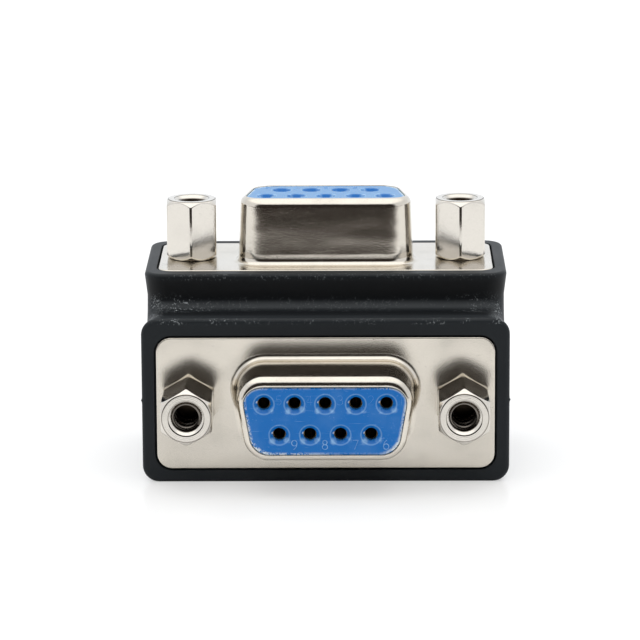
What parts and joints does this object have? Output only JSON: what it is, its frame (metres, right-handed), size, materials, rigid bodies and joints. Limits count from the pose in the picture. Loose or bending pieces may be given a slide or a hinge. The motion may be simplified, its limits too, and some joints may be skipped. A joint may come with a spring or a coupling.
{
  "type": "right-angle d-sub adapter",
  "caption": "Right-angle adapter with D-sub socket connectors on both arms of a moulded L-shaped body, with drawn metal shells and hex jackscrew posts, for turning a cable round a corner.",
  "frame": {"origin": "middle of the part's outer box, at the level of the surface it rests on", "axes": "+X along the flanges, -Y out of the front connector, +Z out of the top connector"},
  "size_m": [0.0336, 0.0254, 0.0248],
  "materials": {
    "body_black": "moulded, satin",
    "inner_mould": "moulded, dull",
    "shell_nickel": "nickel plate",
    "insulator_blue": "moulded",
    "post_nickel": "nickel plate",
    "contact_gold": "gold flash",
    "wire_tinned": "tinned"
  },
  "bodies": {
    "root": {"body": "body_black", "inner_mould": "inner_mould", "front_shell": "shell_nickel", "top_shell": "shell_nickel", "front_rear_shell": "shell_nickel", "top_rear_shell": "shell_nickel", "front_insulator": "insulator_blue", "top_insulator": "insulator_blue", "front_rear_insulator": "insulator_blue", "top_rear_insulator": "insulator_blue", "jackscrews": "post_nickel", "clinch_nuts": "post_nickel", "front_contact_1": "contact_gold", "top_contact_1": "contact_gold", "wire_1": "wire_tinned", "front_contact_2": "contact_gold", "top_contact_2": "contact_gold", "wire_2": "wire_tinned", "front_contact_3": "contact_gold", "top_contact_3": "contact_gold", "wire_3": "wire_tinned", "front_contact_4": "contact_gold", "top_contact_4": "contact_gold", "wire_4": "wire_tinned", "front_contact_5": "contact_gold", "top_contact_5": "contact_gold", "wire_5": "wire_tinned", "front_contact_6": "contact_gold", "top_contact_6": "contact_gold", "wire_6": "wire_tinned", "front_contact_7": "contact_gold", "top_contact_7": "contact_gold", "wire_7": "wire_tinned", "front_contact_8": "contact_gold", "top_contact_8": "contact_gold", "wire_8": "wire_tinned", "front_contact_9": "contact_gold", "top_contact_9": "contact_gold", "wire_9": "wire_tinned"}
  },
  "joints": []
}
